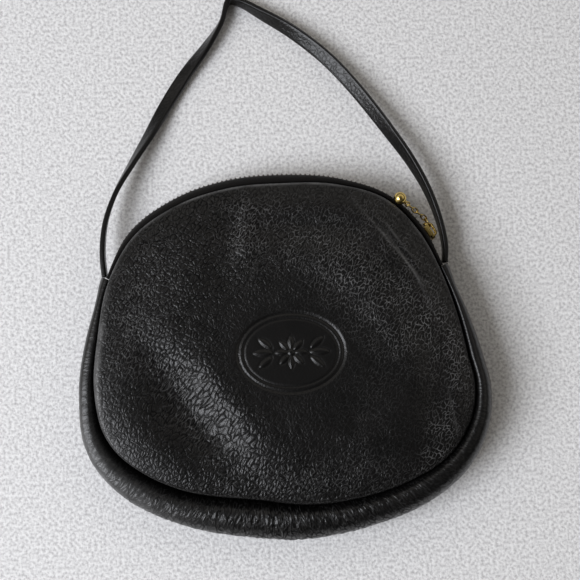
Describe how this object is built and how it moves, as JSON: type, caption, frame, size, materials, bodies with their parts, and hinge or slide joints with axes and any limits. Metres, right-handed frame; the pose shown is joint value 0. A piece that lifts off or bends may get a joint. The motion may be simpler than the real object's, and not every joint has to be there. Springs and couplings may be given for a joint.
{
  "type": "leather bag",
  "caption": "Small soft black leather bag with an arched zipped top, a rounded gusset, a narrow looped strap and a brass chain pull with a ball, lying on its back.",
  "frame": {"origin": "on the flat resting face of the back panel, below the middle of the front panel", "axes": "+Z out of the front panel, +Y towards the zip and the strap, +X to the right seen from the front"},
  "size_m": [0.173, 0.2362, 0.0305],
  "materials": {
    "black_leather": "pebbled, satin",
    "zip_tape": "woven, matt",
    "zip_teeth": "moulded, satin",
    "brass": "polished"
  },
  "bodies": {
    "root": {"front_panel": "black_leather", "back_panel": "black_leather", "gusset": "black_leather", "strap": "black_leather", "zip_tape_front": "zip_tape", "zip_tape_back": "zip_tape", "zip_teeth": "zip_teeth", "zip_slider": "brass", "pull_ring": "brass", "pull_link_1": "brass", "pull_link_2": "brass", "pull_link_3": "brass", "pull_link_4": "brass", "pull_ball": "brass"}
  },
  "joints": []
}
